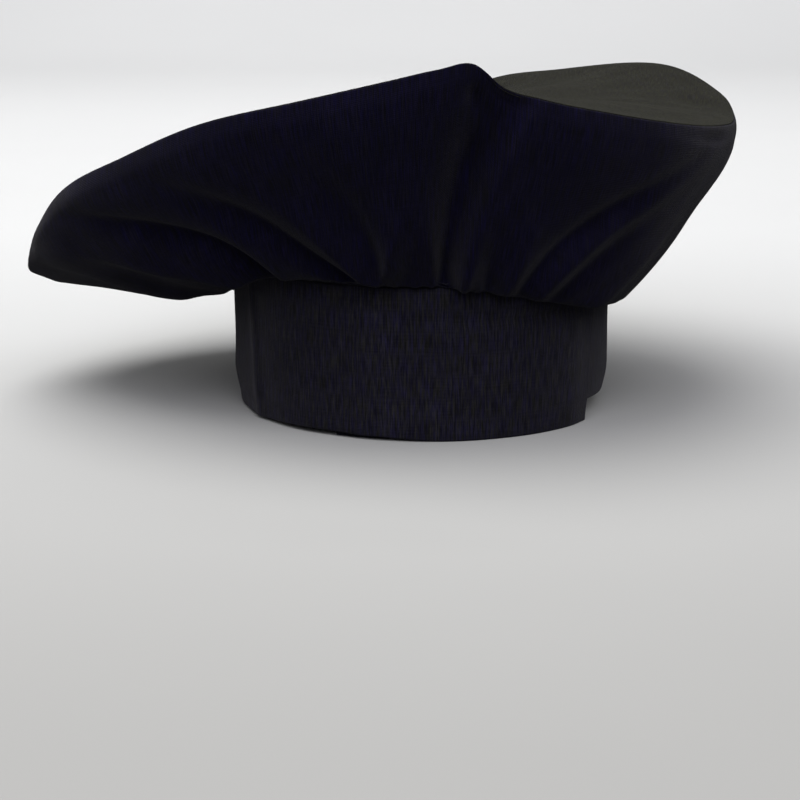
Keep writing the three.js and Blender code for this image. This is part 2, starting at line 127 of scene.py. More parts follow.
# Section of the side panel at each turn: where it meets the top panel, how far it hangs below the
# band's upper edge, how far outside the band it turns up, how far it runs level there, where on the
# straight line to the seam it swells most, and how far it swells past it.
Crown = namedtuple("Crown", "turn seam_radius seam_height droop roll toe full belly")
CROWN = [
    Crown(-180, 146, 104, 12, 9, 16, 0.62, 18),
    Crown(-150, 150, 72, 15, 11, 16, 0.65, 15),
    Crown(-122, 157, 48, 19, 14, 14, 0.8, 9),
    Crown(-105, 165.5, 47, 21, 17, 14, 0.9, 6),
    Crown(-93, 171.5, 53, 21, 17, 14, 0.95, 6),
    Crown(-80, 168.5, 74, 17, 14, 14, 0.88, 18),
    Crown(-66, 163.5, 99, 14, 10, 14, 0.74, 26),
    Crown(-50, 158.5, 117, 4, 7, 12, 0.62, 21),
    Crown(-34, 157, 134, -1, 5, 12, 0.62, 12),
    Crown(-18, 156, 145, -2, 5, 10, 0.62, 6),
    Crown(-5, 155, 153.5, -1, 5, 10, 0.62, 3),
    Crown(2, 155, 158, -1, 5, 10, 0.62, 2),
    Crown(7, 154, 160, 0, 5, 10, 0.62, 2),
    Crown(12, 151, 150, 1, 5, 10, 0.62, 2),
    Crown(18, 148, 145, 3, 5, 10, 0.62, 3),
    Crown(30, 146, 138, 8, 5, 9, 0.62, 4),
    Crown(45, 143, 131, 13, 6, 7, 0.62, 6),
    Crown(65, 137, 125, 16, 7, 6, 0.62, 8),
    Crown(90, 136, 123, 18, 7, 5, 0.64, 12),
    Crown(108, 141, 128, 19, 8, 7, 0.62, 9),
    Crown(130, 146, 135.5, 18, 9, 12, 0.62, 10),
    Crown(152, 146, 129.5, 15, 9, 15, 0.62, 14),
    Crown(168, 145, 122, 13, 9, 16, 0.62, 17),
]

# Folds of the side panel. Each leaves the band at one turn, passes another half way up and heads
# for a third at the seam. A ridge has a positive height and a valley a negative one. Widths are
# from crest to foot, and reach is the share where the fold ends.
Fold = namedtuple("Fold", "at_band midway at_seam height width_at_band width_at_seam reach")
FOLDS = [
    Fold(-44, -51.5, -92, 7, 4, 8, 0.95),
    Fold(-38, -40.5, -75, -5.5, 2.2, 4.2, 1.05),
    Fold(-32, -34.5, -54, 2.6, 1.8, 7, 0.95),
    Fold(-15, -26.5, -53, -5.2, 2.2, 4.4, 1),
    Fold(-11.5, -18.5, -46, 3.2, 1.5, 4, 0.9),
    Fold(-9, -11, -27, -4, 1.6, 4.5, 0.9),
    Fold(-10, -5.5, 2, 4, 1.3, 4, 0.75),
    Fold(-4, -2, -2, -4, 2, 3, 0.6),
    Fold(3, 1, -6, 4, 1.4, 4, 0.8),
    Fold(2, 3.5, 11, -4, 3, 6, 1.1),
    Fold(5, 6.8, 15.5, -10, 2.8, 5, 1.15),
    Fold(8.3, 9.7, 18.3, 8, 1.3, 2.8, 1.12),
    Fold(13, 12.5, 14, 3, 1, 2, 0.35),
    Fold(15, 14.5, 20, -5, 1.8, 5, 0.7),
    Fold(17.5, 19.5, 32, 4, 1.8, 6, 0.75),
    Fold(23, 26.7, 66.5, -4.5, 2.3, 4.2, 1),
    Fold(26, 31, 72, 3, 2, 5, 0.95),
    Fold(30.5, 37, 78, -2.2, 1.6, 4, 0.85),
    Fold(41, 50, 86, 4.5, 5, 9, 0.9),
]
FOLD_RISE = 0.3
FOLD_FADE = 0.45
RIDGE_SHARPNESS = 1.4

# Near the seam the side panel swells and turns in, which starts at this share. The cubic that does
# it is one part in SHOULDER_SCALE at its highest.
SHOULDER = 3.4
SHOULDER_FROM = 0.62
SHOULDER_SCALE = 6.75

# Even gathers round the front and the sides.
GATHERS = 18
GATHER_HEIGHT = 3
GATHERED_BEYOND = 62
GATHERED_ABOUT = 10

# Share of the side panel that curls over the band's upper edge.
CURL_SHARE = 0.15

# Top panel: where its middle is, how far it swells, and its soft dents.
TOP_MIDDLE = (-14, -6)
TOP_SWELL = 15
TOP_WAVES = 16
Dent = namedtuple("Dent", "turn share depth along across")
TOP_DENTS = [
    Dent(-60, 0.55, 5, 0.4, 26),
    Dent(20, 0.6, 4, 0.35, 16),
    Dent(95, 0.6, 3, 0.3, 18),
    Dent(175, 0.65, 5, 0.35, 22),
    Dent(98, 0.9, 3.5, 0.05, 5),
]

# Small dimples in the side panel below the seam: beside the peak, and the groove at the far right.
# across is in degrees, along is a share.
Dimple = namedtuple("Dimple", "turn share depth across along")
SIDE_DIMPLES = [
    Dimple(8, 0.9, 2.6, 1.5, 0.04),
    Dimple(12, 0.95, 1.6, 3, 0.025),
    Dimple(60, 0.955, 1.8, 8, 0.014),
    Dimple(82, 0.93, 1.5, 5, 0.03),
]

# Flat sizes of the cut cloth, in metres.
SIDE_CUT = (1.0, 0.105)
TOP_CUT_WIDTH = 0.33

# Fine gathers all round the band, and about the share by which they have faded.
FINE_GATHERS = 92
FINE_REACH = 0.3

# Small puckers all round the seam and how far they reach, and the soft ridge of the seam allowance
# behind the cloth.
PUCKERS = 170
PUCKER_REACH = 11
SEAM_ALLOWANCE = 8
ALLOWANCE_HEIGHT = 0.3
ALLOWANCE_SPREAD = 2.4

# Each panel keeps this far from the middle of the seam, and its cut edge starts where this share of
# the roll into the seam is done.
SEAM_SPLIT = 0.12
SEAM_ROLLED = 0.9

# Grids of the cloth. Steps are in degrees.
COLUMNS = 480
CROWDING = 0.3
CURL_ROWS = 15
WALL_ROWS = 54
TOP_RINGS = 40
BAND_STEP = 1.25
BAND_ROWS = 24
TAPE_STEP = 1.5
TAPE_ROWS = 12

# Lint on the threads is this many times lighter than the cloth, and threads lie this many metres
# apart.
LINT_LIGHTER = 5
THREAD_PITCH = 0.0006

# How single threads differ from the cloth's colour.
BLUER_THREADS = (0.82, 0.75, 1.25)
BROWNER_THREADS = (1.2, 1.2, 0.75)

# Hook and loop tape's own black, and its lint.
TAPE_COLOUR = (0.006, 0.006, 0.007)
TAPE_LINT = (0.02, 0.02, 0.022)

# Studio, in metres: the floor, which rises in a sweep to the backdrop, where the floor's colour
# starts and ends to change with painted shade that darkens it towards the camera, how much light it
# gives back to the hat, and the light of the room.
FLOOR_DEPTH = 4.4
FLOOR_WIDTH = 8
FLOOR_BEHIND = 2.3
BACKDROP_HEIGHT = 3
SWEEP_RADIUS = 0.9
SWEEP_SEGMENTS = 24
FLOOR_NEAR = -0.6
FLOOR_FAR = 0.5
FLOOR_BOUNCE = 0.14
ROOM_LIGHT = 0.24
BACKDROP_AIM = (0, 2.2, 0.3)

# The middle of the picture lies this many millimetres from the foot of the head's axis.
AIM_ACROSS = -9.2
AIM_UP = -4.2


class HatBandSettings(bpy.types.PropertyGroup):
    """Sizes and colour of the band"""

    wall: bpy.props.FloatProperty(
        name="Thickness",
        description="Thickness of the doubled cloth of the band",
        default=0.0016,
        min=0.001,
        max=0.003,
        unit="LENGTH",
    )
    unevenness: bpy.props.FloatProperty(
        name="Unevenness",
        description="How far the band's face swells and dips",
        default=0.0005,
        min=0,
        max=0.001,
        unit="LENGTH",
    )
    end_lean: bpy.props.FloatProperty(
        name="End Lean",
        description="How far round the hat the top of the outer end leans past its foot",
        default=math.radians(END_LEAN),
        subtype="ANGLE",
    )
    colour: bpy.props.FloatVectorProperty(
        name="Colour",
        description="Colour of the band's cotton",
        subtype="COLOR",
        size=3,
        default=(0.0060, 0.0057, 0.0096),
    )


class CrownSettings(bpy.types.PropertyGroup):
    """Sizes and colour of the crown"""

    wall: bpy.props.FloatProperty(
        name="Thickness",
        description="Thickness of the crown's cloth",
        default=0.0012,
        min=0.0005,
        max=0.002,
        unit="LENGTH",
    )
    gather_height: bpy.props.FloatProperty(
        name="Gathers",
        description="Height of the fine gathers along the band",
        default=0.0012,
        min=0,
        max=0.003,
        unit="LENGTH",
    )
    pucker_height: bpy.props.FloatProperty(
        name="Puckers",
        description="Height of the small puckers along the seam",
        default=0.00008,
        min=0,
        max=0.001,
        unit="LENGTH",
    )
    rumple_height: bpy.props.FloatProperty(
        name="Rumples",
        description="Height of the soft rumples over the panels",
        default=0.0012,
        min=0,
        max=0.003,
        unit="LENGTH",
    )
    seam_roll: bpy.props.FloatProperty(
        name="Seam Roll",
        description="Radius with which each panel turns into the seam",
        default=0.0009,
        min=0.0003,
        max=0.001,
        unit="LENGTH",
    )
    # The side panel is the same cotton as the band. This colour is darker than the band's: painted
    # shade for the side panel's cloth that faces down.
    colour: bpy.props.FloatVectorProperty(
        name="Colour",
        description="Colour of the side panel's cotton",
        subtype="COLOR",
        size=3,
        default=(0.0021, 0.0017, 0.0074),
    )
    # The top panel is the same cotton as the side panel. This colour is lighter and warmer: painted
    # light for the warm light falling on the top from above.
    top_colour_with_painted_light: bpy.props.FloatVectorProperty(
        name="Top Colour",
        description="Colour of the top panel's cotton, which the light has browned",
        subtype="COLOR",
        size=3,
        default=(0.0046, 0.0045, 0.0036),
    )


class StudioSettings(bpy.types.PropertyGroup):
    """Floor, lights and camera"""

    # Painted shade: the floor's colour is darker towards the camera, standing in for the light
    # falling off there.
    shaded_near_colour: bpy.props.FloatVectorProperty(
        name="Near Floor",
        description="Colour of the floor towards the camera",
        subtype="COLOR",
        size=3,
        default=(0.42, 0.415, 0.41),
    )
    far_colour: bpy.props.FloatVectorProperty(
        name="Far Floor",
        description="Colour of the far floor and the backdrop",
        subtype="COLOR",
        size=3,
        default=(0.69, 0.69, 0.70),
    )
    overhead_power: bpy.props.FloatProperty(
        name="Overhead Light",
        description="Power of the soft light above the hat",
        default=25,
        min=0,
        unit="POWER",
    )
    front_power: bpy.props.FloatProperty(
        name="Front Light",
        description="Power of the fill light beside the camera",
        default=21,
        min=0,
        unit="POWER",
    )
    fill_power: bpy.props.FloatProperty(
        name="Side Lights",
        description="Power of the two fill lights beyond the hat",
        default=5,
        min=0,
        unit="POWER",
    )
    backdrop_power: bpy.props.FloatProperty(
        name="Backdrop Light",
        description="Power of the light on the backdrop",
        default=16,
        min=0,
        unit="POWER",
    )
    camera_tilt: bpy.props.FloatProperty(
        name="Camera Tilt",
        description="How far the camera looks down",
        default=math.radians(12.2),
        subtype="ANGLE",
    )
    camera_distance: bpy.props.FloatProperty(
        name="Camera Distance",
        description="Distance from the camera to the middle of the picture",
        default=1.3,
        min=0.5,
        unit="LENGTH",
    )
    lens: bpy.props.FloatProperty(
        name="Lens",
        description="Focal length in millimetres",
        default=132,
        min=20,
        unit="CAMERA",
    )


def smooth(t):
    t = np.clip(t, 0, 1)
    return t * t * (3 - 2 * t)


def mix(a, b, t):
    return a + (b - a) * t


def wrapped(turn):
    """An angle in degrees, brought between -180 and 180."""
    return (turn + 180) % 360 - 180


def crown_at(name, turn):
    """A column of the crown's table at any turns, by a smooth curve that meets itself."""
    x = np.array([row.turn for row in CROWN], float)
    y = np.array([getattr(row, name) for row in CROWN], float)
    x = np.concatenate([x[-2:] - 360, x, x[:3] + 360])
    y = np.concatenate([y[-2:], y, y[:3]])
    turn = wrapped(np.asarray(turn, float))
    k = np.clip(np.searchsorted(x, turn, side="right") - 1, 1, len(x) - 3)
    before, low, high, after = x[k - 1], x[k], x[k + 1], x[k + 2]
    span = high - low
    t = (turn - low) / span
    slope = (y[k + 1] - y[k]) / span
    slope_before = (y[k] - y[k - 1]) / (low - before)
    slope_after = (y[k + 2] - y[k + 1]) / (after - high)
    at_low = (slope_before * span + slope * (low - before)) / (high - before) * span
    at_high = (slope * (after - high) + slope_after * span) / (after - low) * span
    return (
        (2 * t**3 - 3 * t**2 + 1) * y[k]
        + (t**3 - 2 * t**2 + t) * at_low
        + (3 * t**2 - 2 * t**3) * y[k + 1]
        + (t**3 - t**2) * at_high
    )


def winding_at(name, turn):
    """A column of the winding's table, eased from row to row."""
    x = np.array([row.turn for row in WINDING], float)
    y = np.array([getattr(row, name) for row in WINDING], float)
    k = np.clip(np.searchsorted(x, turn, side="right") - 1, 0, len(x) - 2)
    return mix(y[k], y[k + 1], smooth((turn - x[k]) / (x[k + 1] - x[k])))


def band_radius(turn):
    angle = np.radians(turn)
    side = np.abs(np.sin(angle)) / BAND_HALF_WIDTH
    back = np.abs(np.cos(angle)) / BAND_HALF_DEPTH
    return (side**BAND_SQUARENESS + back**BAND_SQUARENESS) ** (-1 / BAND_SQUARENESS)


def outer_radius(turn):
    """Radius of the outermost layer of the band, which the crown stands on."""
    angle = wrapped(turn)
    last_lap = winding_at("out", np.clip(angle + 360, 0, BAND_OUTER_END))
    after_end = smooth((angle - (BAND_OUTER_END + END_LEAN - 360)) / 8)
    return band_radius(turn) + np.where(np.abs(angle) < 90, last_lap * (1 - after_end), 0)


def place(turn, radius, height):
    """Points at turns, distances from the head's axis and heights, in millimetres."""
    angle = np.radians(turn)
    return np.stack(
        np.broadcast_arrays(radius * np.sin(angle), -radius * np.cos(angle), height), -1
    )


def bezier(a, b, c, d, t):
    u = 1 - t
    return u**3 * a + 3 * t * u**2 * b + 3 * t**2 * u * c + t**3 * d


def knotted(x, knots, seed):
    """A smooth random curve from -1 to 1 that repeats when x grows by 1."""
    heights = np.random.default_rng(seed).uniform(-1, 1, knots)
    x = np.asarray(x, float) % 1 * knots
    k = np.floor(x).astype(int)
    return mix(heights[k % knots], heights[(k + 1) % knots], smooth(x - k))


def rumpled(x, y, across, along, seed):
    """Smooth random heights from -1 to 1: x repeats after 1, y runs from 0 to 1."""
    heights = np.random.default_rng(seed).uniform(-1, 1, (across, along + 2))
    x, y = np.broadcast_arrays(np.asarray(x, float) % 1 * across, np.clip(y, 0, 1) * along)
    i = np.floor(x).astype(int)
    j = np.floor(y).astype(int)
    tx = smooth(x - i)
    ty = smooth(y - j)
    i0 = i % across
    i1 = (i + 1) % across
    return mix(
        mix(heights[i0, j], heights[i1, j], tx),
        mix(heights[i0, j + 1], heights[i1, j + 1], tx),
        ty,
    )


def section(turn, share):
    """The side panel's outer face in section, as distance from the axis and height."""
    droop = crown_at("droop", turn)
    base = outer_radius(turn)
    low_r = base + crown_at("roll", turn)
    low_z = BAND_HEIGHT - droop
    seam_r = crown_at("seam_radius", turn)
    seam_z = crown_at("seam_height", turn)
    toe = crown_at("toe", turn)
    belly = crown_at("belly", turn)
    t = np.clip(share / CURL_SHARE, 0, 1)
    lift = 1.7 + 0.12 * np.maximum(droop, 0)
    curl_r = bezier(base - 0.2, base + 0.9, base + 0.4, low_r, t)
    curl_z = bezier(BAND_HEIGHT + 0.3, BAND_HEIGHT + lift, low_z, low_z, t)
    t = np.clip((share - CURL_SHARE) / (1 - CURL_SHARE), 0, 1)
    run = seam_r - low_r
    rise = seam_z - low_z
    length = np.hypot(run, rise)
    full = crown_at("full", turn)
    swollen_r = low_r + full * run + belly * rise / length
    swollen_z = low_z + full * rise - belly * run / length
    wall_r = bezier(low_r, low_r + toe, swollen_r, seam_r, t)
    wall_z = bezier(low_z, low_z, swollen_z, seam_z, t)
    t = np.clip((share - SHOULDER_FROM) / (1 - SHOULDER_FROM), 0, 1)
    shoulder = SHOULDER * SHOULDER_SCALE * t**2 * (1 - t)
    curls = share < CURL_SHARE
    return np.where(curls, curl_r, wall_r) + shoulder, np.where(curls, curl_z, wall_z)


def unit(vectors):
    return vectors / np.linalg.norm(vectors, axis=-1, keepdims=True)


def section_tangent(turn, share):
    """Unit vector along the section, towards the seam."""
    step = 0.004
    middle = np.clip(share, step, 1 - step)
    r0, z0 = section(turn, middle - step)
    r1, z1 = section(turn, middle + step)
    length = np.hypot(r1 - r0, z1 - z0)
    return (r1 - r0) / length, (z1 - z0) / length


def fold_turn(fold, share):
    """Turn that a fold passes: a parabola through its three turns."""
    s0, s1, s2 = CURL_SHARE, 0.5, 1
    return (
        fold.at_band * (share - s1) * (share - s2) / ((s0 - s1) * (s0 - s2))
        + fold.midway * (share - s0) * (share - s2) / ((s1 - s0) * (s1 - s2))
        + fold.at_seam * (share - s0) * (share - s1) / ((s2 - s0) * (s2 - s1))
    )


def fold_height(turn, share):
    """How far the large folds and gathers lift the side panel off its section."""
    height = 0
    for fold in FOLDS:
        width = mix(fold.width_at_band, fold.width_at_seam, share)
        across = wrapped(turn - fold_turn(fold, share)) / width
        starts = smooth(share / FOLD_RISE)
        ends = smooth((fold.reach - share) / FOLD_FADE + 0.02)
        power = RIDGE_SHARPNESS if fold.height > 0 else 2
        profile = np.exp(-(np.abs(across) ** power))
        height = height + fold.height * starts * ends * profile
    angle = np.radians(turn)
    beyond = np.abs(wrapped(turn - GATHERED_ABOUT)) - GATHERED_BEYOND
    uneven = 0.05 * np.sin(3 * angle + 0.7) + 0.035 * np.sin(7 * angle + 1.75)
    strength = 1.25 - 0.5 * np.sin(5 * angle)
    gather = np.sin(GATHERS * (angle + uneven)) * strength * smooth(share / 0.25)
    height = height + GATHER_HEIGHT * gather * smooth(beyond / 18) * (1 - share) ** 0.8
    hanging = np.maximum(crown_at("droop", turn), 0)
    return height * smooth((share - 0.05) / (0.1 + 0.006 * hanging))


def fine_height(turn, share, crown):
    """Fine gathers along the band, and dimples and rumples over the side panel."""
    x = turn / 360
    pitch = x + 0.35 / FINE_GATHERS * knotted(x, 61, 3)
    wave = 0.5 + 0.5 * np.sin(2 * np.pi * FINE_GATHERS * pitch)
    strength = 0.55 + 0.45 * knotted(x, 47, 5)
    reach = FINE_REACH * (0.75 + 0.5 * knotted(x + 0.01, 73, 8))
    rises = smooth((share - 0.015) / 0.06)
    fades = np.exp(-((np.maximum(share - 0.05, 0) / reach) ** 2) * 3)
    height = crown.gather_height / MM * wave**1.4 * strength * rises * fades
    lean = 0.04 * np.sin(2 * np.pi * x)
    soft = rumpled(x + lean * share, share, 26, 2, 11)
    small = rumpled(x - 1.6 * lean * share, share, 58, 5, 12)
    over = smooth((share - 0.1) / 0.2) * smooth((1.02 - share) / 0.12)
    for dimple in SIDE_DIMPLES:
        across = wrapped(turn - dimple.turn) / dimple.across
        along = (share - dimple.share) / dimple.along
        height = height - dimple.depth * np.exp(-(across**2) - along**2)
    return height + crown.rumple_height / MM * (0.7 * soft + 0.45 * small) * over


def pucker_height(turn, from_seam, crown, seed):
    """Small puckers beside the seam and the soft ridge of the allowance behind it."""
    x = turn / 360
    pitch = x + 0.4 / PUCKERS * knotted(x, 97, seed)
    wave = np.sin(2 * np.pi * PUCKERS * pitch)
    strength = 0.55 + 0.45 * knotted(x, 67, seed + 1)
    reach = PUCKER_REACH * (0.7 + 0.4 * knotted(x, 83, seed + 2))
    fades = np.exp(-((from_seam / reach) ** 2)) * smooth(from_seam / 2)
    ridge = ALLOWANCE_HEIGHT * np.exp(
        -(((from_seam - SEAM_ALLOWANCE) / ALLOWANCE_SPREAD) ** 2)
    )
    return crown.pucker_height / MM * wave * strength * fades + ridge


def section_ways(turn, share):
    """Unit vectors straight out from the head's axis, and square to the section."""
    outward = place(turn, 1.0, 0.0)
    along_r, along_z = section_tangent(turn, share)
    square = along_z[..., None] * outward
    square[..., 2] = -along_r
    return outward, square


def fold_direction(turn, share):
    """The way folds stand off the side panel: straight out at the band, so that their feet keep to
    its edge, and square to the cloth further up."""
    outward, square = section_ways(turn, share)
    return unit(mix(outward, square, smooth((share - 0.1) / 0.3)[..., None]))


def side_point(turn, share):
    """The side panel's outer face with its large folds."""
    r, z = section(turn, share)
    return place(turn, r, z) + fold_direction(turn, share) * fold_height(turn, share)[..., None]


def seam_waves():
    """Waves of the seam's height round the hat, which the top panel hangs between."""
    samples = 360
    angle = 2 * np.pi * np.arange(samples) / samples
    height = side_point(np.degrees(angle), np.ones(samples))[:, 2]
    waves = []
    for k in range(TOP_WAVES + 1):
        both = 1 if k == 0 else 2
        cosine = both * np.mean(height * np.cos(k * angle))
        sine = both * np.mean(height * np.sin(k * angle))
        waves.append((cosine, sine))
    return waves


def film_height(turn, share):
    angle = np.radians(turn)
    height = 0
    for k, (cosine, sine) in enumerate(WAVES):
        height = height + share**k * (cosine * np.cos(k * angle) + sine * np.sin(k * angle))
    return height


WAVES = seam_waves()


def top_point(turn, share):
    """The top panel's outer face. share is 0 in its middle and 1 at the seam."""
    seam = side_point(turn, np.ones_like(share))
    missed = (seam[..., 2] - film_height(turn, np.ones_like(share))) * share**TOP_WAVES
    z = film_height(turn, share) + missed + TOP_SWELL * (1 - share**2)
    for dent in TOP_DENTS:
        away = np.radians(turn - dent.turn)
        along = (share * np.cos(away) - dent.share) / dent.along
        across = np.degrees(share * np.sin(away)) / dent.across
        z = z - dent.depth * np.exp(-(along**2) - across**2) * smooth((1 - share) / 0.2)
    x = mix(TOP_MIDDLE[0], seam[..., 0], share)
    y = mix(TOP_MIDDLE[1], seam[..., 1], share)
    return np.stack([x, y, z], -1)


def seam_at(turn, wall):
    """At the seam: the way into the hollow, the way across from the side panel to the top panel,
    and how deep the cut edges reach in."""
    outward = place(turn, 1.0, 0.0)
    along_r, along_z = section_tangent(turn, np.ones_like(turn))
    reach = side_point(turn, np.ones_like(turn)) - top_point(turn, np.full_like(turn, 0.95))
    top = np.stack([np.sum(reach * outward, -1), reach[:, 2]], -1)
    top = unit(top)
    both = np.stack([along_r + top[:, 0], along_z + top[:, 1]], -1)
    half_angle = np.arccos(np.clip(np.linalg.norm(both, axis=-1) / 2, 0, 1))
    both = unit(both)
    up = np.array([0.0, 0.0, 1.0])
    inward = -both[:, :1] * outward - both[:, 1:] * up
    across = -both[:, 1:] * outward + both[:, :1] * up
    depth = wall / np.clip(np.sin(half_angle), 0.5, 1)
    return inward, across, depth[:, None]


def column_turns():
    """Turns of the columns, closer together at the back."""
    angle = 2 * np.pi * np.arange(COLUMNS) / COLUMNS
    return np.degrees(angle - CROWDING * np.sin(angle))


def grid_normals(points):
    """Unit normals of a grid whose first side meets itself."""
    round_hat = np.roll(points, -1, 0) - np.roll(points, 1, 0)
    along = np.gradient(points, axis=1)
    return unit(np.cross(along, round_hat))


def rolled_in(from_seam, radius):
    """How far a panel has turned in at a distance from the seam, on a quarter round."""
    left = np.clip(radius - from_seam, 0, radius)
    return radius - np.sqrt(radius**2 - left**2)


# Finished meshes


def deselect_all():
    bpy.ops.object.select_all(action="DESELECT")


def cloth_mesh(name, grid, uv, ends):
    """A closed cloth piece through a grid of millimetre points about the head's axis.

    The grid's second side always meets itself. Its first side meets itself where ends is "joined",
    closes in a strip of faces where it is "flat", and in two single points where it is "points".
    uv holds one more row and column than the faces of a joined grid need.
    """
    rows, count = grid.shape[:2]
    points = grid.reshape(-1, 3)
    i = np.arange(rows if ends == "joined" else rows - 1)[:, None]
    j = np.arange(count)[None, :]
    corner_i = np.stack(np.broadcast_arrays(i, i + 1, i + 1, i), -1)
    corner_j = np.stack(np.broadcast_arrays(j, j, j + 1, j + 1), -1)
    quads = (corner_i % rows * count + corner_j % count).reshape(-1, 4)
    corner_uv = uv[corner_i, corner_j].reshape(-1, 2)
    faces = quads.tolist()
    if ends == "flat":
        for row in (0, rows - 1):
            for k in range(count // 2 - 1):
                cap = [k, count - 1 - k, count - 2 - k, k + 1]
                order = cap if row == 0 else cap[::-1]
                faces.append([row * count + c for c in order])
                corner_uv = np.vstack([corner_uv, uv[row, order]])
    if ends == "points":
        for row, step in ((0, -1), (rows - 1, 1)):
            pole = len(points)
            middle = points[row * count : (row + 1) * count].mean(0)
            points = np.vstack([points, middle])
            for k in range(count):
                rim = [row * count + k, row * count + (k + 1) % count][::step]
                faces.append(rim + [pole])
                rim_uv = uv[row, [k, k + 1]][::step]
                corner_uv = np.vstack([corner_uv, rim_uv, uv[row, :-1].mean(0)[None]])
    if signed_volume(points, quads) < 0:
        faces = [face[::-1] for face in faces]
        corner_uv = reversed_corners(corner_uv, faces)
    mesh = bpy.data.meshes.new(name)
    mesh.from_pydata((points * MM + np.array(HEAD_AXIS)).tolist(), [], faces)
    mesh.polygons.foreach_set("use_smooth", np.ones(len(faces), bool))
    cut = mesh.uv_layers.new(name="cut")
    cut.data.foreach_set("uv", corner_uv.astype(np.float32).ravel())
    mesh.validate()
    mesh.update()
    piece = bpy.data.objects.new(name, mesh)
    bpy.context.scene.collection.objects.link(piece)
    return piece


def signed_volume(points, quads):
    a, b, c, d = (points[quads[:, k]] for k in range(4))
    return np.sum(a * np.cross(b, c)) + np.sum(a * np.cross(c, d))


def reversed_corners(corner_uv, faces):
    """Corner values in the order that fits faces turned the other way round."""
    counts = np.array([len(face) for face in faces])
    starts = np.cumsum(counts) - counts
    order = np.arange(counts.sum())
    owner = np.repeat(np.arange(len(faces)), counts)
    return corner_uv[starts[owner] + counts[owner] - 1 - (order - starts[owner])]


def wound_strip(name, turns, lower, upper, face, wall, rows, lean=0.0):
    """A strip of doubled cloth wound round the head, with rounded edges and ends.

    turns, lower and upper hold one value for each section. face(turn, height) is the radius of its
    outer face, and the top of the last sections leans on past their foot by lean degrees.
    """
    half = wall / 2
    edge = half * np.array([0.0, 0.08, 0.25, 0.5, 1.0])
    height = upper - lower
    shares = np.linspace(0, 1, rows)[None, 1:-1]
    body = edge[-1] + shares * (height[:, None] - 2 * edge[-1])
    near = np.broadcast_to(edge, (len(turns), len(edge)))
    far = height[:, None] - near[:, ::-1]
    rise = np.concatenate([near, body, far], 1)
    z = lower[:, None] + rise
    leaning = smooth((turns - turns[-1] + LEANING_TURNS) / LEANING_TURNS)[:, None]
    turn = turns[:, None] + lean * leaning * z / BAND_HEIGHT
    from_end = np.minimum(turns - turns[0], turns[-1] - turns)[:, None]
    from_end = np.radians(from_end) * band_radius(turns)[:, None]
    from_edge = np.minimum(np.minimum(rise, height[:, None] - rise), from_end)
    left = np.clip(half - from_edge, 0, half)
    thickness = np.maximum(np.sqrt(half**2 - left**2), 0.06 * half)
    middle = face(turn, z) - half
    outer = place(turn, middle + thickness, z)
    inner = place(turn, middle - thickness, z)
    grid = np.concatenate([outer, inner[:, ::-1]], 1)
    run = np.concatenate([[0], np.cumsum(np.linalg.norm(np.diff(outer[:, 4], axis=0), axis=1))])
    u = np.broadcast_to(run[:, None] * MM, grid.shape[:2])
    v = np.concatenate([z, z[:, ::-1]], 1) * MM
    uv = np.stack([u, v], -1)
    uv = np.concatenate([uv, uv[:, :1]], 1)
    return cloth_mesh(name, grid, uv, "flat")


def section_turns(first, last, step, radius):
    """Turns from first to last, with a few close to both ends for the rounding."""
    close = np.degrees(np.array([0.0, 0.1, 0.3, 0.6, 1.0]) / radius)
    inner = np.arange(first + step, last - step / 2, step)
    return np.concatenate([first + close, inner, (last - close)[::-1]])


def declare(piece, node):
    """Rides a cloth piece on the hat, in place of its solid, which it hides."""
    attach(piece, "root")
    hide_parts(node)
    return piece


# Finishes


def fill(tree, made, inputs):
    """Gives a node its inputs: a socket is linked, and anything else is set as a value."""
    for name, value in inputs.items():
        if isinstance(value, bpy.types.NodeSocket):
            tree.links.new(value, made.inputs[name])
        else:
            made.inputs[name].default_value = value


def node(tree, kind, x, y, inputs, **values):
    """A new node at its place in the tree, with its inputs and settings."""
    made = tree.nodes.new(kind)
    made.location = (x, y)
    for name, value in values.items():
        setattr(made, name, value)
    fill(tree, made, inputs)
    return made


